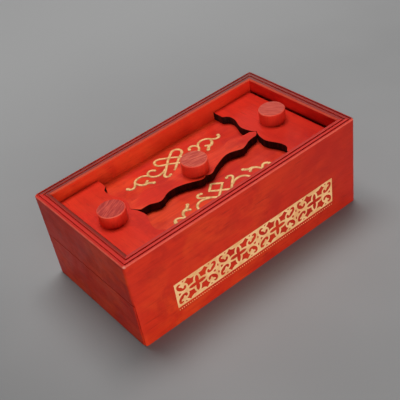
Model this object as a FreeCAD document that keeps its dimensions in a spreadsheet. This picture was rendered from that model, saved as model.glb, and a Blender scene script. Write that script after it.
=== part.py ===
import FreeCAD, Part
import math
import os
import Sketcher
from FreeCAD import Vector

# Puzzle box: a mitred wooden case with a recessed panel, two end tiles and a middle bar
# that slide on the panel, and a drawer hidden in the lower half of the left end.
# Frame: X along the box (the drawer end is -X), Y across it, Z up. The origin is the middle
# of the underside. Millimetres.

os.makedirs("parts", exist_ok=True)
doc = FreeCAD.newDocument("puzzle_box")

# ---------------------------------------------------------------- driving sizes
SIZES = [
    ("case_length", 190.0, "outside length"),
    ("case_width", 102.0, "outside width"),
    ("case_height", 68.5, "outside height"),
    ("wall", 8.4, "board thickness, seen as the width of the rim"),
    ("corner_radius", 2.6, "rounding of the four upright corners"),
    ("edge_bevel", 0.7, "bevel along the outside top edge"),
    ("inner_bevel", 0.9, "bevel along the inside top edge"),
    ("line_depth", 0.8, "depth of the two lines engraved in the rim"),
    ("outer_line_start", 1.4, "first line, outside edge, from the outer face"),
    ("outer_line_end", 2.6, "first line, inside edge"),
    ("inner_line_start", 4.3, "second line, outside edge"),
    ("inner_line_end", 5.5, "second line, inside edge"),
    ("base_thickness", 4.0, "base board"),
    ("panel_top", 53.0, "height of the recessed panel's top face"),
    ("panel_thickness", 4.0, "recessed panel"),
    ("panel_tongue", 3.0, "how far the panel is let into the boards"),
    ("glue_gap", 0.1, "play of a glued joint"),
    ("tile_gap", 0.3, "clearance under a sliding tile"),
    ("tile_top", 59.0, "height of the tiles' top face"),
    ("tile_width", 34.4, "size of an end tile along the box"),
    ("tile_length", 84.6, "size of an end tile across the box"),
    ("tile_inner_edge", 51.4, "straight inner edge of a tile from the pattern's middle"),
    ("tile_land", 50.8, "how near the tile's bulges come to the pattern's middle"),
    ("pattern_middle", -1.0, "middle of the tile pattern along the box"),
    ("bar_middle", -1.5, "middle of the bar along the box"),
    ("slot_height", 6.3, "slot in an end board that takes a tile's edge"),
    ("slot_depth", 5.2, "depth of that slot"),
    ("knob_radius", 9.2, "knob"),
    ("knob_height", 9.0, "knob above the tile"),
    ("knob_edge", 0.5, "bevel on the knob's top edge"),
    ("spindle_radius", 4.0, "turned spindle under the knob"),
    ("slot_radius", 4.4, "half width of the spindle's slot in the panel"),
    ("left_knob_x", -68.5, "left knob, along the box"),
    ("left_knob_y", -0.2, "left knob, across the box"),
    ("middle_knob_x", -1.9, "middle knob, along the box"),
    ("middle_knob_y", -0.6, "middle knob, across the box"),
    ("right_knob_x", 70.3, "right knob, along the box"),
    ("right_knob_y", 2.0, "right knob, across the box"),
    ("tile_travel", 4.6, "travel of each end tile"),
    ("bar_travel", 7.0, "travel of the middle bar"),
    ("keeper_size", 22.0, "square keeper under the panel"),
    ("keeper_thickness", 4.0, "keeper"),
    ("keeper_gap", 0.4, "clearance between keeper and panel"),
    ("cleat_width", 8.0, "strip beside the middle keeper"),
    ("cleat_length", 60.0, "strip beside the middle keeper"),
    ("cleat_height", 5.0, "strip beside the middle keeper"),
    ("cleat_clearance", 0.4, "play between keeper and strip"),
    ("seam_height", 36.5, "height of the drawer's top seam on the end face"),
    ("seam_gap", 0.6, "gap round the drawer front"),
    ("drawer_clearance", 0.4, "play between drawer and case"),
    ("drawer_side_top", 34.0, "top of the drawer's sides"),
    ("drawer_side", 5.0, "thickness of the drawer's sides and back"),
    ("drawer_end", 82.0, "outer face of the drawer's back"),
    ("drawer_floor", 3.0, "thickness of the drawer's floor"),
    ("drawer_floor_lift", 1.6, "drawer floor above the sides' lower edge"),
    ("drawer_groove", 2.5, "groove for the drawer's floor"),
    ("drawer_travel", 110.0, "travel of the drawer"),
    ("guide_height", 5.0, "strip over a drawer side"),
    ("guide_width", 6.0, "strip over a drawer side"),
    ("stop_width", 20.0, "drawer stop across the box"),
    ("stop_thickness", 8.0, "drawer stop along the box"),
    ("stop_reach", 4.0, "how far the stop hangs below the top of the drawer's back"),
]
sheet = doc.addObject("Spreadsheet::Sheet", "Sizes")
for index, (alias, value, note) in enumerate(SIZES):
    row = index + 1
    sheet.set("A%d" % row, alias)
    sheet.set("B%d" % row, str(value))
    sheet.set("C%d" % row, note)
    sheet.setAlias("B%d" % row, alias)
doc.recompute()


class Dim:
    """A length with its value and the sheet formula that gives it."""

    def __init__(self, text, value):
        self.text = text
        self.value = value

    def join(self, other, sign, value):
        return Dim("(%s %s %s)" % (self.text, sign, as_dim(other).text), value)

    def __add__(self, other):
        return self.join(other, "+", self.value + as_dim(other).value)

    def __sub__(self, other):
        return self.join(other, "-", self.value - as_dim(other).value)

    def __mul__(self, other):
        return self.join(other, "*", self.value * as_dim(other).value)

    def __truediv__(self, other):
        return self.join(other, "/", self.value / as_dim(other).value)

    def __neg__(self):
        return Dim("(0 - %s)" % self.text, -self.value)


def as_dim(number):
    return number if isinstance(number, Dim) else Dim("(%.6f)" % number, float(number))


# every size of the sheet by its alias
D = {alias: Dim("Sizes." + alias, float(sheet.get(alias))) for alias, value, note in SIZES}
ZERO = as_dim(0)

# ---------------------------------------------------------------- helpers
bodies = []


def new_body(label):
    body = doc.addObject("PartDesign::Body", label)
    body.Label = label
    bodies.append(body)
    return body


def new_sketch(body, level, plane="XY_Plane"):
    """Empty sketch on one of the body's own origin planes, raised to the given level."""
    sketch = body.newObject("Sketcher::SketchObject", "Sketch")
    origin_plane = [f for f in body.Origin.OriginFeatures if f.Name.startswith(plane)][0]
    sketch.AttachmentSupport = (origin_plane, [""])
    sketch.MapMode = "FlatFace"
    sketch.setExpression("AttachmentOffset.Base.z", level.text)
    return sketch


def tie(sketch, constraint, dim):
    place = sketch.addConstraint(constraint)
    sketch.setExpression("Constraints[%d]" % place, dim.text)


def draw_polygon(sketch, points):
    """Closed outline whose every corner is tied to formulas of the sheet's sizes."""
    start = sketch.GeometryCount
    count = len(points)
    spots = [Vector(x.value, y.value, 0) for x, y in points]
    for i in range(count):
        sketch.addGeometry(Part.LineSegment(spots[i], spots[(i + 1) % count]), False)
    for i in range(count):
        after = start + (i + 1) % count
        sketch.addConstraint(Sketcher.Constraint("Coincident", start + i, 2, after, 1))
    for i, (x, y) in enumerate(points):
        tie(sketch, Sketcher.Constraint("DistanceX", -1, 1, start + i, 1, x.value), x)
        tie(sketch, Sketcher.Constraint("DistanceY", -1, 1, start + i, 1, y.value), y)


def draw_circle(sketch, x, y, radius):
    circle = Part.Circle(Vector(x.value, y.value, 0), Vector(0, 0, 1), radius.value)
    ring = sketch.addGeometry(circle, False)
    tie(sketch, Sketcher.Constraint("DistanceX", -1, 1, ring, 3, x.value), x)
    tie(sketch, Sketcher.Constraint("DistanceY", -1, 1, ring, 3, y.value), y)
    tie(sketch, Sketcher.Constraint("Radius", ring, radius.value), radius)


def finish_feature(body, feature, used):
    body.Tip = feature
    for sketch in used:
        sketch.Visibility = False
    doc.recompute()


def pad(body, sketch, height):
    feature = body.newObject("PartDesign::Pad", "Pad")
    feature.Profile = sketch
    feature.setExpression("Length", height.text)
    finish_feature(body, feature, [sketch])


def pocket(body, sketch, depth):
    """Cut downwards from the sketch and make sure that material was taken away."""
    before = body.Tip.Shape.Volume
    feature = body.newObject("PartDesign::Pocket", "Pocket")
    feature.Profile = sketch
    feature.setExpression("Length", depth.text)
    finish_feature(body, feature, [sketch])
    if not 0 < feature.Shape.Volume < before:
        raise RuntimeError("pocket removed nothing in " + body.Label)


def ruled_loft(body, lower, upper):
    feature = body.newObject("PartDesign::AdditiveLoft", "Bevel")
    feature.Profile = lower
    feature.Sections = [upper]
    feature.Ruled = True
    finish_feature(body, feature, [lower, upper])


def box_points(x0, x1, y0, y1):
    return [(x0, y0), (x1, y0), (x1, y1), (x0, y1)]


def block(label, x0, x1, y0, y1, bottom, height):
    """Plain rectangular piece."""
    body = new_body(label)
    plan = new_sketch(body, bottom)
    draw_polygon(plan, box_points(x0, x1, y0, y1))
    pad(body, plan, height)
    return body


# faces that several pieces share
inner_x = D["case_length"] / 2 - D["wall"]
inner_y = D["case_width"] / 2 - D["wall"]
panel_under = D["panel_top"] - D["panel_thickness"]
tile_under = D["panel_top"] + D["tile_gap"]
tile_thickness = D["tile_top"] - tile_under
through_tile = D["tile_top"] - D["panel_top"]

# ---------------------------------------------------------------- mitred boards
# a board carries one half, 45 degrees, of each rounded corner, in flats of 15 degrees
CORNER_ANGLES = (45, 30, 15, 0)


def corner_points(offset):
    """Outline of one mitred end at a depth into the board: (along, in from the face) pairs."""
    radius = D["corner_radius"] - offset
    if radius.value <= 0:
        return [(offset, offset)]
    points = []
    for angle in CORNER_ANGLES:
        turn = math.radians(angle)
        along = D["corner_radius"] - radius * math.sin(turn)
        across = D["corner_radius"] - radius * math.cos(turn)
        points.append((along, across))
    return points


def board_points(side, outer, inner, play=ZERO):
    """Plan of a mitred board between two depths, with some play at each mitre."""
    long_way = side in ("near", "far")
    half_along = (D["case_length"] if long_way else D["case_width"]) / 2
    half_deep = (D["case_width"] if long_way else D["case_length"]) / 2
    first = [(a - half_along, b - half_deep) for a, b in corner_points(outer)]
    first[0] = (first[0][0] + play, first[0][1])
    second = [(-a, b) for a, b in reversed(first)]
    back_x = half_along - inner - play
    back_y = inner - half_deep
    plan = first + second + [(back_x, back_y), (-back_x, back_y)]
    if side == "near":
        return plan
    if side == "far":
        return [(x, -y) for x, y in plan]
    if side == "left":
        return [(y, x) for x, y in plan]
    return [(-y, x) for x, y in plan]


def mitred_board(label, side, bottom):
    """Board of the case: mitred ends, bevelled rim with two engraved lines, panel groove."""
    body = new_body(label)
    shoulder = D["case_height"] - D["inner_bevel"]
    lip = D["case_height"] - D["edge_bevel"]
    lip_inner = D["wall"] - D["inner_bevel"] + D["edge_bevel"]
    top_inner = D["wall"] - D["inner_bevel"]
    plan = new_sketch(body, bottom)
    draw_polygon(plan, board_points(side, ZERO, D["wall"]))
    pad(body, plan, shoulder - bottom)
    # the inside bevel starts lower than the outside one, so the rim is built in two steps
    steps = [
        (shoulder, ZERO, D["wall"]),
        (lip, ZERO, lip_inner),
        (D["case_height"], D["edge_bevel"], top_inner),
    ]
    for low, high in zip(steps, steps[1:]):
        pair = []
        for level, outer, inner in (low, high):
            section = new_sketch(body, level)
            draw_polygon(section, board_points(side, outer, inner))
            pair.append(section)
        ruled_loft(body, pair[0], pair[1])
    for line in ("outer_line", "inner_line"):
        groove = new_sketch(body, D["case_height"])
        draw_polygon(groove, board_points(side, D[line + "_start"], D[line + "_end"]))
        pocket(body, groove, D["line_depth"])
    housing = new_sketch(body, D["panel_top"])
    draw_polygon(housing, board_points(side, D["wall"] - D["panel_tongue"], D["wall"]))
    pocket(body, housing, D["panel_thickness"])
    return body


def tile_slot(body, sign):
    """Slot inside an end board, just above the panel, that a tile's edge slides into."""
    slot = new_sketch(body, D["panel_top"] + D["slot_height"])
    draw_polygon(slot, box_points(inner_x * sign, (inner_x + D["slot_depth"]) * sign, -inner_y, inner_y))
    pocket(body, slot, D["slot_height"])


mitred_board("near_side_board", "near", ZERO)
mitred_board("far_side_board", "far", ZERO)
tile_slot(mitred_board("right_end_board", "right", ZERO), 1)
tile_slot(mitred_board("left_end_board", "left", D["seam_height"]), -1)

# ---------------------------------------------------------------- base and panel
block("base_board", D["drawer_clearance"] - inner_x, inner_x, -inner_y, inner_y, ZERO, D["base_thickness"])

panel_x = inner_x + D["panel_tongue"] - D["glue_gap"]
panel_y = inner_y + D["panel_tongue"] - D["glue_gap"]
panel = block("top_panel", -panel_x, panel_x, -panel_y, panel_y, panel_under, D["panel_thickness"])


def spindle_slot(x0, x1, y0, y1):
    """Round-ended slot through the panel for a knob's spindle, from (x0, y0) to (x1, y1)."""
    r = D["slot_radius"]
    for x, y in ((x0, y0), (x1, y1)):
        end = new_sketch(panel, D["panel_top"])
        draw_circle(end, x, y, r)
        pocket(panel, end, D["panel_thickness"])
    middle = new_sketch(panel, D["panel_top"])
    if x0 is x1:
        draw_polygon(middle, box_points(x0 - r, x0 + r, y0, y1))
    else:
        draw_polygon(middle, box_points(x0, x1, y0 - r, y0 + r))
    pocket(panel, middle, D["panel_thickness"])


spindle_slot(D["left_knob_x"] - D["tile_travel"], D["left_knob_x"], D["left_knob_y"], D["left_knob_y"])
spindle_slot(D["right_knob_x"], D["right_knob_x"] + D["tile_travel"], D["right_knob_y"], D["right_knob_y"])
spindle_slot(D["middle_knob_x"], D["middle_knob_x"], D["middle_knob_y"], D["middle_knob_y"] + D["bar_travel"])

# ---------------------------------------------------------------- end tiles
# Wavy inner edge of a tile, from the nick in the middle over a bulge and round a bay:
# (distance across from the middle, distance along from the pattern's middle).
TILE_WAVE = [(0.0, 54.6), (1.3, 53.7), (4.2, 52.3), (8.0, 51.3), (11.6, 50.9), (15.2, 51.7),
             (19.2, 53.4), (22.8, 54.7), (26.0, 55.1), (28.6, 54.8), (30.6, 53.6), (31.8, 52.3)]
BAY_END = as_dim(32.6)


def smooth(points):
    curve = Part.BSplineCurve()
    curve.interpolate([Vector(x, y, 0) for x, y in points])
    return curve


def drill(body, x, y, radius, top, depth):
    hole = new_sketch(body, top)
    draw_circle(hole, x, y, radius)
    pocket(body, hole, depth)


def end_tile(name, sign):
    """End tile: a plate trimmed to the wavy edge, with a hole for its knob's spindle."""
    middle = D["pattern_middle"]
    half = D["tile_length"] / 2
    bulge = middle + D["tile_land"] * sign
    straight = middle + D["tile_inner_edge"] * sign
    outer = straight + D["tile_width"] * sign
    body = block(name + "_tile", bulge, outer, -half, half, tile_under, tile_thickness)
    for way in (1, -1):
        end = new_sketch(body, D["tile_top"])
        draw_polygon(end, box_points(bulge, straight, BAY_END * way, half * way))
        pocket(body, end, through_tile)
    wave = new_sketch(body, D["tile_top"])
    corner_x = straight.value
    clear_x = bulge.value - sign
    for way in (1, -1):
        points = [(middle.value + sign * along, way * across) for across, along in TILE_WAVE]
        corner = Vector(corner_x, way * BAY_END.value, 0)
        clear = Vector(clear_x, way * BAY_END.value, 0)
        wave.addGeometry(smooth(points + [(corner.x, corner.y)]), False)
        wave.addGeometry(Part.LineSegment(corner, clear), False)
        wave.addGeometry(Part.LineSegment(clear, Vector(clear_x, 0, 0)), False)
    pocket(body, wave, through_tile)
    drill(body, D[name + "_knob_x"], D[name + "_knob_y"], D["spindle_radius"], D["tile_top"], through_tile)


end_tile("left", -1)
end_tile("right", 1)

# ---------------------------------------------------------------- middle bar
# Outline of the bar on each side of its middle, from the nick beside the knob to the point
# of its end: (distance along from the bar's middle, half width). The right end is the
# slimmer one.
BAR_RIGHT = [(0.0, 10.7), (1.6, 11.7), (3.6, 12.1), (8.0, 10.1), (13.5, 7.3), (19.5, 4.9), (25.0, 3.9),
             (30.3, 5.4), (35.5, 7.3), (39.8, 5.9), (43.7, 4.2), (47.3, 3.5), (51.1, 3.3)]
BAR_RIGHT_TIP = [(51.1, 3.3), (52.9, 2.0), (54.6, 0.0)]
BAR_LEFT = [(0.0, 10.7), (1.6, 11.7), (3.6, 12.1), (8.0, 10.5), (13.5, 7.7), (20.0, 5.5), (26.0, 5.1),
            (30.8, 6.7), (35.5, 8.7), (39.3, 7.7), (42.7, 5.9), (46.2, 5.6), (49.5, 5.5)]
BAR_LEFT_TIP = [(49.5, 5.5), (50.9, 3.9), (52.4, 1.7), (53.6, 0.0)]


def bar_edge(points, sign, way):
    """One quarter of the bar's outline, to the left or right and to the near or far side."""
    middle = D["bar_middle"].value
    return smooth([(middle + sign * along, way * half) for along, half in points])


bar = new_body("middle_bar")
bar_plan = new_sketch(bar, tile_under)
for way in (1, -1):
    for points in (BAR_RIGHT, BAR_RIGHT_TIP):
        bar_plan.addGeometry(bar_edge(points, 1, way), False)
    for points in (BAR_LEFT, BAR_LEFT_TIP):
        bar_plan.addGeometry(bar_edge(points, -1, way), False)
pad(bar, bar_plan, tile_thickness)
drill(bar, D["middle_knob_x"], D["middle_knob_y"], D["spindle_radius"], D["tile_top"], through_tile)

# ---------------------------------------------------------------- knobs and keepers
keeper_under = panel_under - D["keeper_gap"] - D["keeper_thickness"]


def stand_at(body, name):
    body.setExpression("Placement.Base.x", D[name + "_knob_x"].text)
    body.setExpression("Placement.Base.y", D[name + "_knob_y"].text)
    doc.recompute()


def knob(name):
    """Turned knob whose spindle runs down through its tile and the panel into the keeper."""
    body = new_body(name + "_knob")
    top = D["tile_top"] + D["knob_height"]
    profile = new_sketch(body, ZERO, "XZ_Plane")
    draw_polygon(profile, [(ZERO, keeper_under), (D["spindle_radius"], keeper_under),
                           (D["spindle_radius"], D["tile_top"]), (D["knob_radius"], D["tile_top"]),
                           (D["knob_radius"], top - D["knob_edge"]), (D["knob_radius"] - D["knob_edge"], top),
                           (ZERO, top)])
    turned = body.newObject("PartDesign::Revolution", "Turned")
    turned.Profile = profile
    turned.ReferenceAxis = (profile, ["V_Axis"])
    turned.Angle = 360
    finish_feature(body, turned, [profile])
    stand_at(body, name)


def keeper(name):
    """Square plate glued to the end of a spindle, so that the tile can't be lifted off."""
    body = new_body(name + "_keeper")
    plate = new_sketch(body, keeper_under)
    half = D["keeper_size"] / 2
    draw_polygon(plate, box_points(-half, half, -half, half))
    draw_circle(plate, ZERO, ZERO, D["spindle_radius"])
    pad(body, plate, D["keeper_thickness"])
    stand_at(body, name)


for name in ("left", "middle", "right"):
    knob(name)
    keeper(name)

# ---------------------------------------------------------------- strips, guides and stop
cleat_middle = D["middle_knob_y"] + D["bar_travel"] / 2
cleat_half = D["cleat_length"] / 2
for name, sign in (("cleat_left", -1), ("cleat_right", 1)):
    close = D["middle_knob_x"] + (D["keeper_size"] / 2 + D["cleat_clearance"]) * sign
    block(name, close, close + D["cleat_width"] * sign, cleat_middle - cleat_half, cleat_middle + cleat_half,
          panel_under - D["cleat_height"], D["cleat_height"])

guide_under = D["drawer_side_top"] + D["drawer_clearance"]
for name, sign in (("near_drawer_guide", -1), ("far_drawer_guide", 1)):
    block(name, D["drawer_clearance"] - inner_x, inner_x, inner_y * sign, (inner_y - D["guide_width"]) * sign,
          guide_under, D["guide_height"])

drawer_inner_end = D["drawer_end"] - D["drawer_side"]
stop_face = drawer_inner_end - D["drawer_travel"] - D["drawer_clearance"]
stop_under = D["drawer_side_top"] - D["stop_reach"]
block("drawer_stop", stop_face - D["stop_thickness"], stop_face, -D["stop_width"] / 2, D["stop_width"] / 2,
      stop_under, panel_under - stop_under)

# ---------------------------------------------------------------- drawer
drawer_under = D["base_thickness"] + D["drawer_clearance"]
drawer_y = inner_y - D["drawer_clearance"]
room_y = drawer_y - D["drawer_side"]
side_height = D["drawer_side_top"] - drawer_under
floor_under = drawer_under + D["drawer_floor_lift"]
floor_top = floor_under + D["drawer_floor"]
groove_y = room_y + D["drawer_groove"]
groove_end = drawer_inner_end + D["drawer_groove"]


def floor_groove(body, x0, x1, y0, y1):
    """Groove that holds an edge of the drawer's floor."""
    groove = new_sketch(body, floor_top)
    draw_polygon(groove, box_points(x0, x1, y0, y1))
    pocket(body, groove, D["drawer_floor"])


front = new_body("drawer_front")
front_plan = new_sketch(front, D["seam_gap"])
draw_polygon(front_plan, board_points("left", ZERO, D["wall"], D["seam_gap"]))
pad(front, front_plan, D["seam_height"] - D["seam_gap"] * 2)
floor_groove(front, -inner_x - D["drawer_groove"], -inner_x, -groove_y, groove_y)

for name, sign in (("drawer_near_side", -1), ("drawer_far_side", 1)):
    side = block(name, -inner_x, D["drawer_end"], room_y * sign, drawer_y * sign, drawer_under, side_height)
    floor_groove(side, -inner_x, groove_end, room_y * sign, groove_y * sign)

back = block("drawer_back", drawer_inner_end, D["drawer_end"], -room_y, room_y, drawer_under, side_height)
floor_groove(back, drawer_inner_end, groove_end, -room_y, room_y)

floor_x0 = D["glue_gap"] - inner_x - D["drawer_groove"]
floor_x1 = groove_end - D["glue_gap"]
floor_y = groove_y - D["glue_gap"]
block("drawer_bottom", floor_x0, floor_x1, -floor_y, floor_y, floor_under, D["drawer_floor"])

# ---------------------------------------------------------------- check and export
doc.recompute()
for item in doc.Objects:
    if "Invalid" in item.State or "Error" in item.State:
        raise RuntimeError("%s is %s" % (item.Label, item.State))
for body in bodies:
    if body.Shape.isNull() or not body.Shape.isValid() or len(body.Shape.Solids) != 1:
        raise RuntimeError("bad shape: " + body.Label)
    body.Shape.exportStep("parts/%s.step" % body.Label)
    box = body.Shape.BoundBox
    print("%-18s %10.2f mm3  x %.2f..%.2f  y %.2f..%.2f  z %.2f..%.2f" % (
        body.Label, body.Shape.Volume, box.XMin, box.XMax, box.YMin, box.YMax, box.ZMin, box.ZMax))
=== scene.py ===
import math
import bpy
import bmesh
from mathutils import Matrix, Vector


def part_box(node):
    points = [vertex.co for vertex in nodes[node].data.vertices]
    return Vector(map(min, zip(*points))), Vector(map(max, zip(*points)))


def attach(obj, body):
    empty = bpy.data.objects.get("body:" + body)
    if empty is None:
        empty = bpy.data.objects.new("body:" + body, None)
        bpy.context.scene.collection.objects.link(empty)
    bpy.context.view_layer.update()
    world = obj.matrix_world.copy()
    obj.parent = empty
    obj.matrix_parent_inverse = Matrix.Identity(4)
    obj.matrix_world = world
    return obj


# A red-stained wooden puzzle box. The wooden pieces come with the frame and get their finish here.
# The gold band, the row of dots and the two scroll ornaments are thin pieces of their own.

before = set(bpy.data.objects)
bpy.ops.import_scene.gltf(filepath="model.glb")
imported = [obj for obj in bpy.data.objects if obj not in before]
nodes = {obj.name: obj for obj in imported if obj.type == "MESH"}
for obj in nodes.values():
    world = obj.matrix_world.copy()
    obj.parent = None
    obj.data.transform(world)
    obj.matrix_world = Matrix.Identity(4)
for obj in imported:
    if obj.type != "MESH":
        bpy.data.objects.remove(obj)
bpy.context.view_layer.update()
scene = bpy.context.scene
scene.view_settings.view_transform = "Standard"

# The box stands on z = 0, with its length along X and its decorated side towards -Y.
MM = 0.001
near_low, near_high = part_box("near_side_board")
end_low, end_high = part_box("right_end_board")
NEAR_FACE = near_low[1]
HEIGHT = near_high[2]
PANEL_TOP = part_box("top_panel")[1][2]
WALL = end_high[0] - end_low[0]
HALF_SPAN = {"X": end_high[0], "Y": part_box("far_side_board")[1][1]}


# ---------------------------------------------------------------- shader helpers
class Shader:
    """A material's node tree, with a short call for each kind of node used here."""

    def __init__(self, name):
        self.material = bpy.data.materials.new(name)
        self.material.use_nodes = True
        self.tree = self.material.node_tree
        self.tree.nodes.clear()
        out = self.tree.nodes.new("ShaderNodeOutputMaterial")
        self.surface = self.tree.nodes.new("ShaderNodeBsdfPrincipled")
        self.link(self.surface.outputs[0], out.inputs["Surface"])
        self.coords = self.tree.nodes.new("ShaderNodeTexCoord").outputs["Object"]

    def link(self, source, target):
        self.tree.links.new(source, target)

    def put(self, socket, value):
        if isinstance(value, bpy.types.NodeSocket):
            self.link(value, socket)
        else:
            socket.default_value = value

    def scaled(self, scale=(1, 1, 1), offset=(0, 0, 0), turn=0.0):
        """Object coordinates, turned about the vertical axis and then stretched."""
        source = self.coords
        if turn:
            spin = self.tree.nodes.new("ShaderNodeMapping")
            self.link(source, spin.inputs["Vector"])
            spin.inputs["Rotation"].default_value = (0, 0, turn)
            source = spin.outputs[0]
        node = self.tree.nodes.new("ShaderNodeMapping")
        self.link(source, node.inputs["Vector"])
        node.inputs["Scale"].default_value = scale
        node.inputs["Location"].default_value = offset
        return node.outputs[0]

    def noise(self, vector, scale, detail=3.0, rough=0.55, warp=0.0):
        node = self.tree.nodes.new("ShaderNodeTexNoise")
        self.link(vector, node.inputs["Vector"])
        node.inputs["Scale"].default_value = scale
        node.inputs["Detail"].default_value = detail
        node.inputs["Roughness"].default_value = rough
        node.inputs["Distortion"].default_value = warp
        return node.outputs["Fac"]

    def math(self, kind, a, b=0.0):
        node = self.tree.nodes.new("ShaderNodeMath")
        node.operation = kind
        self.put(node.inputs[0], a)
        self.put(node.inputs[1], b)
        return node.outputs[0]

    def times(self, a, b):
        return self.math("MULTIPLY", a, b)

    def size(self, value):
        return self.math("ABSOLUTE", value)

    def ramp(self, value, low, high, to_low=0.0, to_high=1.0):
        """Smooth change from to_low, where the value is low, to to_high, where it is high."""
        node = self.tree.nodes.new("ShaderNodeMapRange")
        node.interpolation_type = "SMOOTHSTEP"
        self.put(node.inputs["Value"], value)
        node.inputs["From Min"].default_value = low
        node.inputs["From Max"].default_value = high
        node.inputs["To Min"].default_value = to_low
        node.inputs["To Max"].default_value = to_high
        return node.outputs["Result"]

    def mix(self, factor, a, b):
        node = self.tree.nodes.new("ShaderNodeMix")
        node.data_type = "RGBA"
        self.put(node.inputs["Factor"], factor)
        self.put(node.inputs["A"], a if isinstance(a, bpy.types.NodeSocket) else (*a, 1))
        self.put(node.inputs["B"], b if isinstance(b, bpy.types.NodeSocket) else (*b, 1))
        return node.outputs["Result"]

    def axis(self, vector, name):
        node = self.tree.nodes.new("ShaderNodeSeparateXYZ")
        self.link(vector, node.inputs[0])
        return node.outputs[name]

    def place(self, name):
        return self.axis(self.coords, name)

    def normal(self, name):
        node = self.tree.nodes.new("ShaderNodeNewGeometry")
        return self.axis(node.outputs["Normal"], name)

    def bump(self, height, strength, distance):
        node = self.tree.nodes.new("ShaderNodeBump")
        self.link(height, node.inputs["Height"])
        node.inputs["Strength"].default_value = strength
        node.inputs["Distance"].default_value = distance
        self.link(node.outputs[0], self.surface.inputs["Normal"])

    def finish(self, colour, rough, coat=0.0, coat_rough=0.2, specular=0.5):
        self.put(self.surface.inputs["Base Color"], colour)
        self.put(self.surface.inputs["Roughness"], rough)
        self.surface.inputs["Coat Weight"].default_value = coat
        self.surface.inputs["Coat Roughness"].default_value = coat_rough
        self.surface.inputs["Specular IOR Level"].default_value = specular
        return self.material


# ---------------------------------------------------------------- red-stained wood
DRAWN_OUT = 0.09
GRAIN_SCALE = {"X": (DRAWN_OUT, 1, 1), "Y": (1, DRAWN_OUT, 1), "Z": (1, 1, DRAWN_OUT)}
GRAIN_BUMP = {"strength": 0.25, "distance": 0.08 * MM}
GLOSSY = 0.16
DULL = 0.07

# Stains: the usual colour, its warm clouds and its dark blotches.
RED = {"red": (0.66, 0.026, 0.010), "orange": (0.78, 0.060, 0.012), "deep": (0.42, 0.010, 0.007)}
WARM = {"red": (0.66, 0.030, 0.009), "orange": (0.75, 0.056, 0.011), "deep": (0.42, 0.012, 0.007)}
BROWNISH = {"red": (0.60, 0.028, 0.011), "orange": (0.68, 0.050, 0.013), "deep": (0.38, 0.013, 0.006)}
# Lit and shaded copies of the red stain: painted light on the far wall's inner face, painted shade on the
# right wall's inner face.
ROOM_LIT_TONES = {"red": (0.95, 0.066, 0.019), "orange": (0.98, 0.115, 0.027), "deep": (0.72, 0.024, 0.011)}
SHADED = {"red": (0.88, 0.028, 0.014), "orange": (0.92, 0.044, 0.016), "deep": (0.50, 0.010, 0.007)}
TURNED = {"red": (0.88, 0.056, 0.026), "orange": (0.92, 0.078, 0.032), "deep": (0.60, 0.024, 0.015)}
PORE_RED = (0.16, 0.006, 0.004)
FLECK_RED = (0.14, 0.008, 0.006)
# Painted light for the panel along the foot of the far wall.
LIT_STRIP_RED = (0.97, 0.085, 0.022)

# Where the stain changes, from the first place to the second. Painted shade makes the red deeper to the
# right and towards the near side, and on the recess walls to the right and at the top; the strip along
# the foot of the far wall is painted light.
WARMER_X = (60 * MM, -90 * MM)
SHADE_RIGHT_X = (-20 * MM, 100 * MM)
SHADE_NEAR_Y = (20 * MM, -45 * MM)
ROOM_SHADE_X = (-70 * MM, 70 * MM)
ROOM_SHADE_Z = (HEIGHT - 6 * MM, HEIGHT - 1 * MM)
LIT_STRIP_Y = (37.5 * MM, 43.5 * MM)


def stain_clouds(shader, even, red, orange, deep):
    """Uneven stain: warm clouds that grow to the left and dark blotches, with painted shade that deepens
    the red to the right and towards the near side.
    """
    warm = shader.ramp(shader.place("X"), *WARMER_X, 0.35, 0.95)
    cloud = shader.ramp(shader.noise(even, scale=26.0, rough=0.6, warp=0.6), 0.42, 0.60)
    blotch = shader.ramp(shader.noise(even, scale=48.0, detail=4.0, rough=0.62, warp=0.4), 0.47, 0.66)
    # Painted shade: a deeper red to the right and towards the near side.
    rightward_shade = shader.ramp(shader.place("X"), *SHADE_RIGHT_X)
    nearward_shade = shader.ramp(shader.place("Y"), *SHADE_NEAR_Y, 0.24, 0.52)
    colour = shader.mix(shader.times(cloud, warm), red, orange)
    colour = shader.mix(shader.times(rightward_shade, nearward_shade), colour, deep)
    return shader.mix(shader.times(blotch, 0.46), colour, deep)


def grain_lines(shader, colour, even, along, deep):
    """Bands, streaks, fine pores and patches of short flecks along the grain. Also gives their height."""
    band = shader.ramp(shader.noise(along, scale=130.0, detail=2.0, rough=0.5, warp=0.4), 0.45, 0.75)
    streak = shader.ramp(shader.noise(along, scale=420.0, rough=0.6), 0.40, 0.70)
    pores = shader.ramp(shader.noise(along, scale=1500.0, detail=2.0, rough=0.5), 0.55, 0.75)
    fleck = shader.ramp(shader.noise(along, scale=700.0, detail=1.0, rough=0.4), 0.66, 0.74)
    patch = shader.ramp(shader.noise(even, scale=35.0, detail=2.0), 0.46, 0.60)
    colour = shader.mix(shader.times(band, 0.26), colour, deep)
    colour = shader.mix(shader.times(streak, 0.24), colour, deep)
    colour = shader.mix(shader.times(pores, 0.20), colour, PORE_RED)
    colour = shader.mix(shader.times(fleck, shader.times(patch, 0.28)), colour, FLECK_RED)
    height = shader.math("ADD", shader.times(streak, 0.5), shader.times(pores, -0.5))
    return colour, height


def stained(shader, grain, seed, tones):
    """Colour and height of stained wood with its grain along one axis."""
    offset = (seed, seed * 0.7, seed * 0.4)
    even = shader.scaled(offset=offset)
    along = shader.scaled(GRAIN_SCALE[grain], offset)
    colour = stain_clouds(shader, even, **tones)
    return grain_lines(shader, colour, even, along, tones["deep"])


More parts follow.
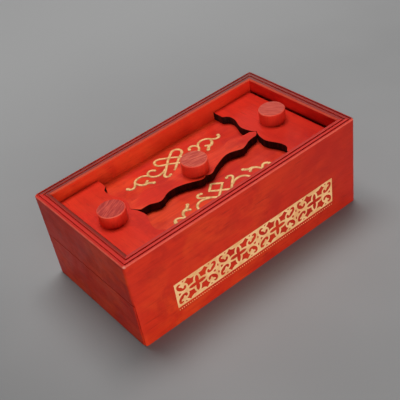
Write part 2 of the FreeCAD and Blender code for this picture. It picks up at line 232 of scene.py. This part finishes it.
def satin(shader, colour, height, shine):
    """Closes a material with satin lacquer, whose gloss is a little smeared."""
    smear = shader.noise(shader.scaled(), scale=90.0)
    shader.bump(height, **GRAIN_BUMP)
    rough = shader.ramp(smear, 0.3, 0.7, 0.36, 0.50)
    return shader.finish(colour, rough, coat=0.3 * shine, coat_rough=0.12, specular=shine)


def drawer_lacquer(name, grain, seed):
    """The drawer front, stained like the end board above it."""
    shader = Shader(name)
    colour, height = stained(shader, grain, seed, BROWNISH)
    return satin(shader, colour, height, DULL)


def panel_lacquer(name, grain, seed):
    """The recessed panel, with painted light: a brighter red strip along the foot of the far wall,
    against the shade there.
    """
    shader = Shader(name)
    colour, height = stained(shader, grain, seed, RED)
    # Painted light: a brighter red strip along the foot of the far wall.
    lit_strip = shader.ramp(shader.place("Y"), *LIT_STRIP_Y)
    return satin(shader, shader.mix(lit_strip, colour, LIT_STRIP_RED), height, GLOSSY)


# ---------------------------------------------------------------- boards with the bevelled rim
# Rim edge tones: painted highlights on bevels that face the light, painted shade on those that face away,
# and SHADOW_RED as painted shade on the inner edge of the near and left boards.
EDGE_HIGHLIGHT = (0.66, 0.10, 0.065)
SHADOW_RED = (0.10, 0.010, 0.008)
INNER_EDGE_HIGHLIGHT = (0.54, 0.075, 0.038)
EDGE_SHADE_BROWN = (0.09, 0.018, 0.016)
# Painted highlight on the rim's corners.
CORNER_HIGHLIGHT = (0.76, 0.28, 0.21)
# Painted shade on the inner part of the rim's top.
LIP_SHADE_BROWN = (0.22, 0.022, 0.014)
GROOVE_RED = (0.26, 0.012, 0.012)
GROOVE_BROWN = (0.17, 0.040, 0.034)
# Painted reflection: a grey sheen on the rim towards the far right corner.
SHEEN_GREY = (0.14, 0.055, 0.045)

# Levels near the top of the box: floor of the engraved lines, foot of the rim, reach of the painted
# corner spot.
LINE_FLOOR_Z = (HEIGHT - 0.6 * MM, HEIGHT - 0.3 * MM)
RIM_FOOT_Z = (HEIGHT - 2.0 * MM, HEIGHT - 1.5 * MM)
CORNER_Z = (HEIGHT - 1.8 * MM, HEIGHT - 0.9 * MM)
# Distances outwards from a wall's inner face, and inwards from an outer face.
LIP = (1.5 * MM, 4.0 * MM)
CORNER = (2.2 * MM, 0.6 * MM)
SHEEN_X = (20 * MM, 90 * MM)
SHEEN_Y = (0, 50 * MM)


def rim_top(shader, colour, upward, tone, lines, line_tone):
    """Flat top of the rim: a darker tone, the floor of the engraved lines and a painted reflection, a
    grey sheen towards the far right corner.
    """
    patchiness = shader.ramp(shader.noise(shader.scaled(), scale=70.0), 0.35, 0.7, 1.0, 0.75)
    colour = shader.mix(shader.times(upward, patchiness), colour, tone)
    sunk = shader.ramp(shader.place("Z"), *LINE_FLOOR_Z, 1.0, 0.0)
    on_rim = shader.ramp(shader.place("Z"), *RIM_FOOT_Z)
    groove = shader.times(shader.times(sunk, on_rim), upward)
    colour = shader.mix(shader.times(groove, lines), colour, line_tone)
    # Painted reflection: a grey sheen towards the far right corner.
    back = shader.ramp(shader.place("Y"), *SHEEN_Y)
    right = shader.ramp(shader.place("X"), *SHEEN_X)
    sheen = shader.times(shader.times(back, right), 0.65)
    return shader.mix(shader.times(sheen, upward), colour, SHEEN_GREY)


def rim_lip_shade(shader, colour, upward, outward, amount):
    """Painted shade: a brown tone on the inner part of the rim's top."""
    axis, sign = outward
    across = shader.times(shader.place(axis), sign)
    wall_face = HALF_SPAN[axis] - WALL
    lip_shade = shader.ramp(across, wall_face + LIP[0], wall_face + LIP[1], amount, 0.0)
    return shader.mix(shader.times(lip_shade, upward), colour, LIP_SHADE_BROWN)


def painted_room_side(shader, colour, slope, grain, seed, tones, right_shade_amount):
    """The side towards the recess gets a lit or a shaded copy of the stain, by the tones given, as
    painted light or painted shade, and painted shade deepens it at its top and to the right.
    """
    own, _ = stained(shader, grain, seed, tones)
    # Painted shade: deeper red to the right and at the top of the wall.
    rightward_shade = shader.ramp(shader.place("X"), *ROOM_SHADE_X, 0.0, right_shade_amount)
    own = shader.mix(rightward_shade, own, tones["deep"])
    upper_shade = shader.ramp(shader.place("Z"), *ROOM_SHADE_Z, 0.0, 0.35)
    own = shader.mix(upper_shade, own, tones["deep"])
    inward = shader.ramp(slope, -0.8, -0.5, 1.0, 0.0)
    return shader.mix(inward, colour, own)


def rim_edges(shader, colour, up, slope, seed, outer_tone, inner_tone):
    """Painted highlight and painted shade, in patches, on the bevels of the rim's outer and inner edges,
    by the tones given.
    """
    tilted = shader.times(shader.ramp(up, 0.3, 0.5), shader.ramp(up, 0.80, 0.92, 1.0, 0.0))
    outer = shader.times(tilted, shader.ramp(slope, 0.2, 0.4))
    inner = shader.times(tilted, shader.ramp(slope, -0.4, -0.2, 1.0, 0.0))
    patchiness = shader.noise(shader.scaled(offset=(seed, 0, 0)), scale=160.0)
    patchy_light = shader.ramp(patchiness, 0.35, 0.6, 0.65, 1.0)
    # Painted highlight and painted shade on the bevels.
    colour = shader.mix(shader.times(outer, patchy_light), colour, outer_tone)
    return shader.mix(shader.times(inner, patchy_light), colour, inner_tone)


def painted_corner_spot(shader, colour, tone):
    """A painted spot where two boards meet at the top: a painted highlight with a pale tone, painted
    shade with a dark one.
    """
    reach = []
    for axis, half in HALF_SPAN.items():
        reach.append(shader.ramp(shader.size(shader.place(axis)), half - CORNER[0], half - CORNER[1]))
    top = shader.ramp(shader.place("Z"), *CORNER_Z)
    return shader.mix(shader.times(shader.times(*reach), top), colour, tone)


def case_board(name, grain, seed, outward, tones, rim, outer_edge, inner_edge, lines, lip_shade, shine=GLOSSY,
               line_tone=GROOVE_RED, corner_tone=CORNER_HIGHLIGHT, room_light_tones=None, room_right_shade=0.0):
    """Lacquered board of the case. Its outer face looks along outward, an axis with a sign."""
    shader = Shader(name)
    colour, height = stained(shader, grain, seed, tones)
    up = shader.normal("Z")
    slope = shader.times(shader.normal(outward[0]), outward[1])
    upward = shader.ramp(up, 0.80, 0.95)
    colour = rim_top(shader, colour, upward, rim, lines, line_tone)
    colour = rim_lip_shade(shader, colour, upward, outward, lip_shade)
    if room_light_tones:
        colour = painted_room_side(shader, colour, slope, grain, seed, room_light_tones, room_right_shade)
    colour = rim_edges(shader, colour, up, slope, seed, outer_edge, inner_edge)
    colour = painted_corner_spot(shader, colour, corner_tone)
    return satin(shader, colour, height, shine)


# ---------------------------------------------------------------- tiles, knobs, gold and bare wood
CHAR_BLACK = (0.016, 0.006, 0.005)
CHAR_RED = (0.075, 0.014, 0.010)
# Painted highlight on the knobs' rounded top edge.
KNOB_EDGE_HIGHLIGHT = (0.74, 0.14, 0.09)
GOLD_WORN = (0.70, 0.26, 0.09)
# Brown outline of the print, and painted shade on the sloping sides of the raised paint.
GOLD_EDGE_SHADE = (0.30, 0.10, 0.025)
BARE_PALE = (0.58, 0.40, 0.23)
BARE_RING = (0.47, 0.29, 0.15)
BARE_FIBRE = (0.36, 0.21, 0.10)


def tile_lacquer(name, grain, seed, orange):
    """Lacquered face, with the charred sides that a laser cut leaves."""
    shader = Shader(name)
    colour, height = stained(shader, grain, seed, {**RED, "orange": orange})
    side = shader.ramp(shader.size(shader.normal("Z")), 0.35, 0.65, 1.0, 0.0)
    soot = shader.noise(shader.scaled((1, 1, 0.2)), scale=600.0)
    char = shader.mix(shader.ramp(soot, 0.3, 0.7), CHAR_BLACK, CHAR_RED)
    shader.bump(height, **GRAIN_BUMP)
    rough = shader.ramp(side, 0.0, 1.0, 0.40, 0.85)
    return shader.finish(shader.mix(side, colour, char), rough, specular=0.10)


def knob_wood(name, turn, seed, dark_top, pale_top):
    """Turned knob: a thirsty, paler top with saw lines, a painted highlight in patches on its rounded top
    edge and a deep red polished side.
    """
    shader = Shader(name)
    colour, height = stained(shader, "Z", seed, TURNED)
    up = shader.normal("Z")
    top = shader.ramp(up, 0.90, 0.98)
    rounding = shader.times(shader.ramp(up, 0.25, 0.5), shader.ramp(up, 0.90, 0.98, 1.0, 0.0))
    patchiness = shader.ramp(shader.noise(shader.coords, scale=150.0, detail=2.0), 0.40, 0.60, 0.25, 0.9)
    lines = shader.scaled((0.12, 1, 1), (seed, 0, 0), turn)
    saw = shader.ramp(shader.noise(lines, scale=900.0, rough=0.6), 0.38, 0.68)
    fibre = shader.ramp(shader.noise(lines, scale=300.0, rough=0.6), 0.35, 0.70)
    sawn = shader.mix(saw, dark_top, pale_top)
    sawn = shader.mix(shader.times(fibre, 0.35), sawn, dark_top)
    shader.bump(shader.times(saw, top), strength=0.5, distance=0.12 * MM)
    rough = shader.ramp(top, 0.0, 1.0, 0.30, 0.58)
    colour = shader.mix(top, colour, sawn)
    # Painted highlight on the rounded top edge.
    colour = shader.mix(shader.times(rounding, patchiness), colour, KNOB_EDGE_HIGHLIGHT)
    return shader.finish(colour, rough, coat=0.10, coat_rough=0.12, specular=0.16)


def gold_paint(name, dark, pale, cloud_scale, edge_shade):
    """Cream-gold print that lets a little of the wood's grain through; its sloping edges can be browner,
    both the print's brown outline and painted shade on the sides of the raised paint.
    """
    shader = Shader(name)
    worn = shader.noise(shader.scaled((0.3, 1, 1)), scale=900.0, rough=0.6)
    cloud = shader.noise(shader.scaled(), scale=cloud_scale)
    colour = shader.mix(shader.ramp(cloud, 0.38, 0.58), dark, pale)
    colour = shader.mix(shader.ramp(worn, 0.60, 0.80, 0.0, 0.5), colour, GOLD_WORN)
    # Browner sloping sides: the print's outline and painted shade.
    sloping = shader.ramp(shader.size(shader.normal("Z")), 0.90, 0.97, 0.75, 0.0)
    colour = shader.mix(shader.times(sloping, edge_shade), colour, GOLD_EDGE_SHADE)
    shader.bump(worn, strength=0.3, distance=0.05 * MM)
    return shader.finish(colour, shader.ramp(cloud, 0.3, 0.7, 0.42, 0.55), specular=0.3)


def bare_wood(name, grain, seed):
    """Unstained sanded wood inside the box."""
    shader = Shader(name)
    along = shader.scaled(GRAIN_SCALE[grain], (seed, seed, seed))
    ring = shader.ramp(shader.noise(along, scale=160.0, rough=0.6, warp=0.8), 0.35, 0.70)
    fine = shader.ramp(shader.noise(along, scale=900.0, rough=0.6), 0.40, 0.70)
    colour = shader.mix(ring, BARE_PALE, BARE_RING)
    colour = shader.mix(shader.times(fine, 0.35), colour, BARE_FIBRE)
    shader.bump(fine, strength=0.4, distance=0.1 * MM)
    return shader.finish(colour, 0.62)


# ---------------------------------------------------------------- finishes of the wooden pieces
EASED = 0.25 * MM
EASED_ANGLE = math.radians(40)
INSIDE = [("base_board", "X"), ("cleat_left", "Y"), ("cleat_right", "Y"), ("near_drawer_guide", "X"),
          ("far_drawer_guide", "X"), ("drawer_stop", "Z"), ("left_keeper", "X"), ("middle_keeper", "X"),
          ("right_keeper", "X"), ("drawer_near_side", "X"), ("drawer_far_side", "X"),
          ("drawer_back", "Y"), ("drawer_bottom", "X")]
INSIDE_SEED_STEP = 0.37


def coat(node, material):
    for slot in nodes[node].material_slots:
        slot.material = material


def soften(node):
    """Break a piece's sharp edges with a small real bevel."""
    piece = nodes[node]
    weld = piece.modifiers.new("weld", "WELD")
    weld.merge_threshold = 0.01 * MM
    bevel = piece.modifiers.new("edges", "BEVEL")
    bevel.width = EASED
    bevel.segments = 2
    bevel.limit_method = "ANGLE"
    bevel.angle_limit = EASED_ANGLE
    bevel.harden_normals = True


def finish_case():
    coat("near_side_board",
         case_board("lacquer_near", "X", 0.3, ("Y", -1), WARM, rim=(0.54, 0.026, 0.018),
                    outer_edge=EDGE_HIGHLIGHT, inner_edge=SHADOW_RED, lines=0.40, lip_shade=0.3))
    coat("far_side_board",
         case_board("lacquer_far", "X", 1.7, ("Y", 1), RED, rim=(0.21, 0.030, 0.024),
                    outer_edge=EDGE_SHADE_BROWN, inner_edge=INNER_EDGE_HIGHLIGHT, lines=0.8, lip_shade=0.0,
                    line_tone=GROOVE_BROWN, corner_tone=EDGE_SHADE_BROWN, room_light_tones=ROOM_LIT_TONES,
                    room_right_shade=0.35))
    coat("left_end_board",
         case_board("lacquer_left", "Y", 2.9, ("X", -1), BROWNISH, rim=(0.52, 0.024, 0.018),
                    outer_edge=EDGE_HIGHLIGHT, inner_edge=SHADOW_RED, lines=0.0, lip_shade=1.0, shine=DULL))
    coat("right_end_board",
         case_board("lacquer_right", "Y", 4.1, ("X", 1), RED, rim=(0.25, 0.024, 0.018),
                    outer_edge=EDGE_SHADE_BROWN, inner_edge=INNER_EDGE_HIGHLIGHT, lines=0.8, lip_shade=0.0,
                    line_tone=GROOVE_BROWN, corner_tone=EDGE_SHADE_BROWN, room_light_tones=SHADED))
    coat("drawer_front", drawer_lacquer("lacquer_drawer", "Y", 5.3))
    coat("top_panel", panel_lacquer("lacquer_panel", "X", 6.1))


def finish_sliders():
    coat("left_tile", tile_lacquer("tile_left", "Y", 0.9, orange=(0.68, 0.034, 0.012)))
    coat("right_tile", tile_lacquer("tile_right", "Y", 2.2, orange=(0.72, 0.044, 0.014)))
    coat("middle_bar", tile_lacquer("tile_bar", "X", 3.6, orange=(0.86, 0.090, 0.028)))
    coat("left_knob", knob_wood("knob_left", turn=-0.45, seed=0.4, dark_top=(0.36, 0.022, 0.016),
                                pale_top=(0.62, 0.074, 0.046)))
    coat("middle_knob", knob_wood("knob_middle", turn=0.22, seed=1.4, dark_top=(0.42, 0.038, 0.024),
                                  pale_top=(0.70, 0.135, 0.074)))
    coat("right_knob", knob_wood("knob_right", turn=0.9, seed=2.4, dark_top=(0.44, 0.044, 0.028),
                                 pale_top=(0.60, 0.092, 0.058)))
    for node in ("left_tile", "right_tile", "middle_bar"):
        soften(node)


def finish_inside():
    for number, (node, grain) in enumerate(INSIDE):
        coat(node, bare_wood("bare_" + node, grain, INSIDE_SEED_STEP * number))


# ---------------------------------------------------------------- gold band and dots on the near side
PRINT = 0.12 * MM
PROUD = 0.03 * MM
BAND_LEFT = -66.0 * MM
BAND_RIGHT = 71.9 * MM
BAND_MIDDLE = 22.9 * MM
BAND_HALF = 10.0 * MM
REPEAT = 34.5 * MM
FIRST_CENTRE = -48.7 * MM
BAND_CENTRES = [FIRST_CENTRE + REPEAT * k for k in range(4)]
HOLE_GROWTH = 1.12
CURVE_STEPS = 4

DOT_PITCH = 1.7 * MM
DOT_LEVEL = 10.8 * MM
DOT_HALF_WIDTH = 0.38 * MM
DOT_HALF_HEIGHT = 0.55 * MM

# Holes of one repeat, as (x, z) in mm from its centre: a quarter of the cross, then the other holes.
PETALS = [(0.0, 6.6), (0.9, 5.7), (1.4, 4.2), (1.5, 2.6), (1.25, 1.2), (2.6, 1.4), (4.4, 1.35),
          (6.0, 0.85), (7.1, 0.0)]
STAR = [(6.8, 8.8), (7.9, 7.6), (9.2, 6.5), (8.2, 5.8), (7.5, 4.9), (7.1, 3.9), (7.1, 2.6),
        (5.2, 3.0), (3.4, 3.1), (3.1, 4.9), (2.2, 6.9), (4.4, 6.95), (5.7, 7.7)]
COMMA = [(12.4, 6.9), (13.1, 7.65), (14.4, 7.75), (15.4, 6.9), (15.6, 5.6), (15.2, 4.2),
         (14.1, 2.9), (12.6, 2.0), (11.1, 1.65), (9.8, 2.0), (9.05, 3.0), (9.05, 4.0), (9.7, 4.6),
         (10.4, 4.3), (10.7, 3.5), (11.3, 3.3), (11.9, 3.9), (12.4, 4.7), (13.3, 5.2), (13.9, 5.8),
         (13.7, 6.4), (13.0, 6.5)]
EDGE_TRIANGLE = [(9.5, 8.95), (11.4, 8.85), (10.6, 7.7)]
SIDE_TRIANGLE = [(13.0, 0.0), (14.3, 0.95), (15.1, 0.8), (15.1, -0.8), (14.3, -0.95)]
LINK_OVAL = [(17.3, 4.1), (16.7, 3.0), (17.3, 1.9), (17.9, 3.0)]


def add_outline(curve, points, rounded):
    """Closed outline in a curve, smooth through its points or with straight sides."""
    if rounded:
        spline = curve.splines.new("BEZIER")
        spline.bezier_points.add(len(points) - 1)
        for knot, (x, y) in zip(spline.bezier_points, points):
            knot.co = (x, y, 0)
            knot.handle_left_type = "AUTO"
            knot.handle_right_type = "AUTO"
        spline.resolution_u = CURVE_STEPS
    else:
        spline = curve.splines.new("POLY")
        spline.points.add(len(points) - 1)
        for corner, (x, y) in zip(spline.points, points):
            corner.co = (x, y, 0, 1)
    spline.use_cyclic_u = True


def flat_shape(name, outlines, thickness, material):
    """Flat piece in the XY plane. An outline inside another one is a hole."""
    curve = bpy.data.curves.new(name, "CURVE")
    curve.dimensions = "2D"
    curve.fill_mode = "BOTH"
    curve.extrude = thickness / 2
    for points, rounded in outlines:
        add_outline(curve, points, rounded)
    source = bpy.data.objects.new(name + "_curve", curve)
    scene.collection.objects.link(source)
    solid = source.evaluated_get(bpy.context.evaluated_depsgraph_get())
    mesh = bpy.data.meshes.new_from_object(solid)
    mesh.name = name
    bpy.data.objects.remove(source)
    bpy.data.curves.remove(curve)
    piece = bpy.data.objects.new(name, mesh)
    scene.collection.objects.link(piece)
    mesh.materials.clear()
    mesh.materials.append(material)
    return piece


def stand_on_near_face(piece):
    """Turn a flat XY shape upright and lay it on the near side board."""
    upright = Matrix.Rotation(math.radians(90), 4, "X")
    piece.data.transform(Matrix.Translation((0, NEAR_FACE + PRINT / 2 - PROUD, 0)) @ upright)


def grown(points, factor):
    """Outline scaled about its own middle."""
    middle_x = sum(x for x, z in points) / len(points)
    middle_z = sum(z for x, z in points) / len(points)
    return [(middle_x + (x - middle_x) * factor, middle_z + (z - middle_z) * factor) for x, z in points]


def placed(points, centre, flip_x=1, flip_z=1):
    return [(centre + flip_x * x * MM, BAND_MIDDLE + flip_z * z * MM) for x, z in points]


def repeat_holes(centre):
    """Holes of one repeat: the cross, and the others mirrored about its two middle lines."""
    cross = PETALS + [(x, -z) for x, z in reversed(PETALS[:-1])]
    cross += [(-x, z) for x, z in reversed(cross[1:-1])]
    shapes = [(placed(cross, centre), False)]
    for flip_x in (1, -1):
        shapes.append((placed(SIDE_TRIANGLE, centre, flip_x), False))
        for flip_z in (1, -1):
            shapes.append((placed(grown(STAR, HOLE_GROWTH), centre, flip_x, flip_z), False))
            shapes.append((placed(grown(COMMA, HOLE_GROWTH), centre, flip_x, flip_z), True))
            shapes.append((placed(EDGE_TRIANGLE, centre, flip_x, flip_z), False))
    return shapes


def link_holes(centre):
    """The two ovals between one repeat and the next."""
    return [(placed(LINK_OVAL, centre, 1, flip_z), True) for flip_z in (1, -1)]


def band_outlines():
    """Outer rectangle of the gold band and the holes that show the wood."""
    low = BAND_MIDDLE - BAND_HALF
    high = BAND_MIDDLE + BAND_HALF
    shapes = [([(BAND_LEFT, low), (BAND_RIGHT, low), (BAND_RIGHT, high), (BAND_LEFT, high)], False)]
    for centre in BAND_CENTRES:
        shapes += repeat_holes(centre)
        if centre != BAND_CENTRES[-1]:
            shapes += link_holes(centre)
    return shapes


def dot_outlines():
    """Row of small lozenges below the band."""
    shapes = []
    for k in range(int((BAND_RIGHT - BAND_LEFT) / DOT_PITCH)):
        x = BAND_LEFT + DOT_PITCH * (k + 0.5)
        shapes.append(([(x - DOT_HALF_WIDTH, DOT_LEVEL), (x, DOT_LEVEL - DOT_HALF_HEIGHT),
                        (x + DOT_HALF_WIDTH, DOT_LEVEL), (x, DOT_LEVEL + DOT_HALF_HEIGHT)], False))
    return shapes


def printed(name, outlines, gold):
    """A gold print on the near side."""
    piece = flat_shape(name, outlines, PRINT, gold)
    stand_on_near_face(piece)
    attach(piece, "case")


# ---------------------------------------------------------------- scrollwork on the panel
# Strokes of half an ornament, in mm: along from its middle line, outwards from the middle of the
# box, and half the stroke's width.
LOOP = [(-5.6, 16.8, 0.8), (-3.0, 19.3, 0.95), (0.0, 21.8, 0.95), (1.9, 23.4, 0.95), (4.2, 25.2, 0.95),
        (6.4, 26.6, 0.95), (9.2, 28.3, 1.0), (10.8, 30.2, 1.05), (11.1, 32.4, 1.05), (10.1, 34.7, 1.05),
        (7.9, 35.7, 1.05), (5.4, 35.1, 1.05), (3.4, 33.7, 1.0), (0.0, 31.0, 0.95), (-2.2, 29.3, 0.95),
        (-4.6, 27.0, 0.95), (-6.8, 24.9, 0.95), (-9.0, 22.7, 0.95), (-11.4, 20.4, 0.95),
        (-13.4, 18.7, 0.95), (-14.6, 17.0, 1.0), (-14.5, 15.5, 1.0), (-13.2, 14.5, 1.0),
        (-11.9, 14.4, 1.0)]
DIAMOND_EDGE = [(6.4, 17.6, 0.5), (5.2, 16.6, 0.95), (2.6, 14.3, 0.95), (0.0, 12.0, 0.9)]
INNER_VINE = [(9.4, 23.1, 0.7), (11.8, 21.6, 0.9), (14.4, 20.7, 1.0), (17.0, 20.6, 1.05),
              (19.3, 21.6, 1.0), (20.9, 23.2, 0.95), (21.6, 25.0, 0.95), (21.3, 27.0, 0.95),
              (20.1, 28.7, 1.0), (18.3, 29.4, 1.0), (16.6, 28.9, 1.05), (15.5, 27.6, 1.1)]
ARCH = [(21.2, 24.0, 0.6), (22.1, 26.0, 0.9), (23.5, 27.7, 1.0), (25.3, 28.8, 1.0), (27.7, 29.2, 1.0),
        (30.2, 28.7, 1.0), (32.2, 27.3, 1.0), (33.5, 25.4, 0.95), (34.9, 23.8, 0.95), (36.6, 22.7, 1.0),
        (38.4, 22.8, 1.1), (39.7, 24.0, 1.25)]
BRANCH = [(32.8, 26.2, 0.7), (32.3, 23.4, 1.0), (31.1, 21.3, 1.1), (29.3, 20.0, 1.2),
          (27.1, 19.5, 1.15), (25.3, 18.3, 1.15), (24.2, 17.2, 1.2)]
THORN = [(28.3, 20.4, 0.9), (26.9, 21.1, 1.0), (26.0, 21.7, 1.0)]
STROKES = [LOOP, DIAMOND_EDGE, INNER_VINE, ARCH, BRANCH, THORN]
# Round ends, in mm: the same two distances, and the radius.
ROUND_ENDS = [(-11.0, 15.0, 1.35), (15.4, 27.2, 1.3), (39.9, 25.0, 1.6), (23.9, 16.8, 1.5),
              (25.8, 21.9, 1.15)]
SCROLL_MIDDLE = -0.8 * MM
FAR_SHIFT = 0.3
NEAR_SHIFT = 1.8
STROKE_GROWTH = 1.1
STROKE_STEPS = 6
STROKE_SHOULDER = 0.62
ROUND_SHOULDER = 0.75
ROUND_SIDES = 20
SINK = 0.05 * MM
# In mm. Each stroke is a hair higher than the one before, so that no two tops lie in one plane.
FIRST_HEIGHT = 0.10
HEIGHT_STEP = 0.006


def between(a, b, c, d, t):
    """Catmull-Rom value at t on the way from b to c."""
    return 0.5 * (2 * b + (c - a) * t + (2 * a - 5 * b + 4 * c - d) * t * t
                  + (3 * b - a - 3 * c + d) * t * t * t)


def smooth_line(points, steps):
    """Smooth line through control points, whose widths change smoothly too."""
    result = []
    padded = [points[0]] + points + [points[-1]]
    for k in range(1, len(padded) - 2):
        four = padded[k - 1:k + 3]
        for s in range(steps):
            result.append([between(*values, s / steps) for values in zip(*four)])
    result.append(list(points[-1]))
    return result


def add_ribbon(bm, line, height, place):
    """Flat-topped stroke with sloping sides that follows a line of (x, y, half width)."""
    profile = ((1.0, -SINK), (STROKE_SHOULDER, height), (-STROKE_SHOULDER, height), (-1.0, -SINK))
    rows = []
    for k, (x, y, half) in enumerate(line):
        before = line[max(k - 1, 0)]
        after = line[min(k + 1, len(line) - 1)]
        way = Vector((after[0] - before[0], after[1] - before[1])).normalized()
        side = Vector((-way.y, way.x)) * half * STROKE_GROWTH
        corners = []
        for reach, level in profile:
            u, v = place(x + side.x * reach, y + side.y * reach)
            corners.append(bm.verts.new((u, v, PANEL_TOP + level)))
        rows.append(corners)
    for a, b in zip(rows, rows[1:]):
        for k in range(4):
            n = (k + 1) % 4
            bm.faces.new((a[k], a[n], b[n], b[k]))
    bm.faces.new(rows[0])
    bm.faces.new(rows[-1])


def add_round(bm, x, y, radius, height, place):
    """Low round end of a stroke."""
    rings = []
    for reach, level in ((1.0, -SINK), (ROUND_SHOULDER, height)):
        ring = []
        for k in range(ROUND_SIDES):
            turn = 2 * math.pi * k / ROUND_SIDES
            u, v = place(x + radius * reach * math.cos(turn), y + radius * reach * math.sin(turn))
            ring.append(bm.verts.new((u, v, PANEL_TOP + level)))
        rings.append(ring)
    foot, top = rings
    for k in range(ROUND_SIDES):
        n = (k + 1) % ROUND_SIDES
        bm.faces.new((foot[k], foot[n], top[n], top[k]))
    bm.faces.new(foot)
    bm.faces.new(top)


def on_panel(mirror, toward, shift):
    """The function that takes a point of half an ornament, in mm, to its place on the panel."""
    def place(x, y):
        return SCROLL_MIDDLE + mirror * x * MM, toward * (y + shift) * MM
    return place


def scrollwork(name, toward, shift, gold):
    """One symmetrical ornament on the panel, on the far side (toward 1) or the near side (-1)."""
    bm = bmesh.new()
    height = FIRST_HEIGHT
    for mirror in (1, -1):
        place = on_panel(mirror, toward, shift)
        for stroke in STROKES:
            height += HEIGHT_STEP
            add_ribbon(bm, smooth_line(stroke, STROKE_STEPS), height * MM, place)
        for x, y, radius in ROUND_ENDS:
            height += HEIGHT_STEP
            add_round(bm, x, y, radius, height * MM, place)
    bmesh.ops.recalc_face_normals(bm, faces=bm.faces)
    mesh = bpy.data.meshes.new(name)
    bm.to_mesh(mesh)
    bm.free()
    mesh.materials.append(gold)
    piece = bpy.data.objects.new(name, mesh)
    scene.collection.objects.link(piece)
    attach(piece, "case")


def decoration():
    print_gold = gold_paint("gold_print", dark=(0.86, 0.44, 0.17), pale=(0.96, 0.58, 0.26),
                            cloud_scale=120.0, edge_shade=0.0)
    scroll_gold = gold_paint("gold_scroll", dark=(0.62, 0.33, 0.11), pale=(0.86, 0.52, 0.21),
                             cloud_scale=300.0, edge_shade=1.0)
    printed("gold_band", band_outlines(), print_gold)
    printed("gold_bead_line", dot_outlines(), print_gold)
    scrollwork("scroll_far", 1, FAR_SHIFT, scroll_gold)
    scrollwork("scroll_near", -1, NEAR_SHIFT, scroll_gold)


# ---------------------------------------------------------------- floor, light and camera
FLOOR_HALF = 3.0
FLOOR_DROP = 0.1 * MM
# Painted light on the floor towards the back, painted shade to the left.
FLOOR_LIT_Y = (0.02, 0.36)
FLOOR_SHADE_X = (-0.08, -0.26)
WORLD_LIGHT = 0.085

AZIMUTH = math.radians(-30.580)
ELEVATION = math.radians(42.032)
ROLL = math.radians(-12.091)
DISTANCE = 0.5304
AIM = Vector((-0.02789, -0.00226, 0.0))
LENS = 68.64
SENSOR = 36.0
SHIFT = (0.0483, 0.1405)
NEAREST = 0.01


def grey(level):
    return (level, level, level)


def floor_paper():
    """Grey paper, with painted light that makes it paler towards the back and painted shade that makes it
    a little darker to the left.
    """
    shader = Shader("floor_paper")
    speck = shader.noise(shader.scaled(), scale=8.0, detail=2.0)
    # Painted light towards the back and painted shade to the left.
    back = shader.ramp(shader.place("Y"), *FLOOR_LIT_Y)
    left = shader.ramp(shader.place("X"), *FLOOR_SHADE_X, 0.0, 0.60)
    colour = shader.mix(shader.ramp(speck, 0.3, 0.7), grey(0.250), grey(0.265))
    colour = shader.mix(left, colour, grey(0.16))
    colour = shader.mix(back, colour, grey(0.31))
    return shader.finish(colour, 0.85, specular=0.2)


def floor():
    bm = bmesh.new()
    bmesh.ops.create_grid(bm, x_segments=2, y_segments=2, size=FLOOR_HALF)
    mesh = bpy.data.meshes.new("studio_floor")
    bm.to_mesh(mesh)
    bm.free()
    mesh.materials.append(floor_paper())
    ground = bpy.data.objects.new("studio_floor", mesh)
    ground.location.z = -FLOOR_DROP
    scene.collection.objects.link(ground)


def area_light(name, place, aim, width, height, power):
    lamp = bpy.data.lights.new(name, "AREA")
    lamp.shape = "RECTANGLE"
    lamp.size = width
    lamp.size_y = height
    lamp.energy = power
    holder = bpy.data.objects.new(name, lamp)
    holder.location = place
    holder.rotation_euler = (Vector(aim) - Vector(place)).to_track_quat("-Z", "Y").to_euler()
    scene.collection.objects.link(holder)


def studio():
    floor()
    area_light("overhead_softbox", place=(0.15, 0.33, 1.28), aim=(0, 0, 0),
               width=0.9, height=0.50, power=16.3)
    area_light("front_softbox", place=(-0.42, -1.25, 0.22), aim=(0, 0, 0.03),
               width=1.2, height=0.40, power=12.8)
    area_light("back_softbox", place=(0.75, 1.15, 0.45), aim=(0, 0, 0.03),
               width=1.0, height=0.5, power=2.4)
    world = bpy.data.worlds.new("studio")
    world.use_nodes = True
    sky = world.node_tree.nodes["Background"]
    sky.inputs["Color"].default_value = (1, 1, 1, 1)
    sky.inputs["Strength"].default_value = WORLD_LIGHT
    scene.world = world


def camera():
    back = Vector((math.sin(AZIMUTH) * math.cos(ELEVATION), -math.cos(AZIMUTH) * math.cos(ELEVATION),
                   math.sin(ELEVATION)))
    level = Vector((math.cos(AZIMUTH), math.sin(AZIMUTH), 0))
    upward = back.cross(level)
    right = level * math.cos(ROLL) + upward * math.sin(ROLL)
    up = upward * math.cos(ROLL) - level * math.sin(ROLL)
    turn = Matrix((right, up, back)).transposed().to_4x4()
    lens = bpy.data.cameras.new("camera")
    lens.lens = LENS
    lens.sensor_width = SENSOR
    lens.shift_x, lens.shift_y = SHIFT
    lens.clip_start = NEAREST
    eye = bpy.data.objects.new("camera", lens)
    eye.matrix_world = Matrix.Translation(AIM + back * DISTANCE) @ turn
    scene.collection.objects.link(eye)
    scene.camera = eye


finish_case()
finish_sliders()
finish_inside()
decoration()
studio()
camera()
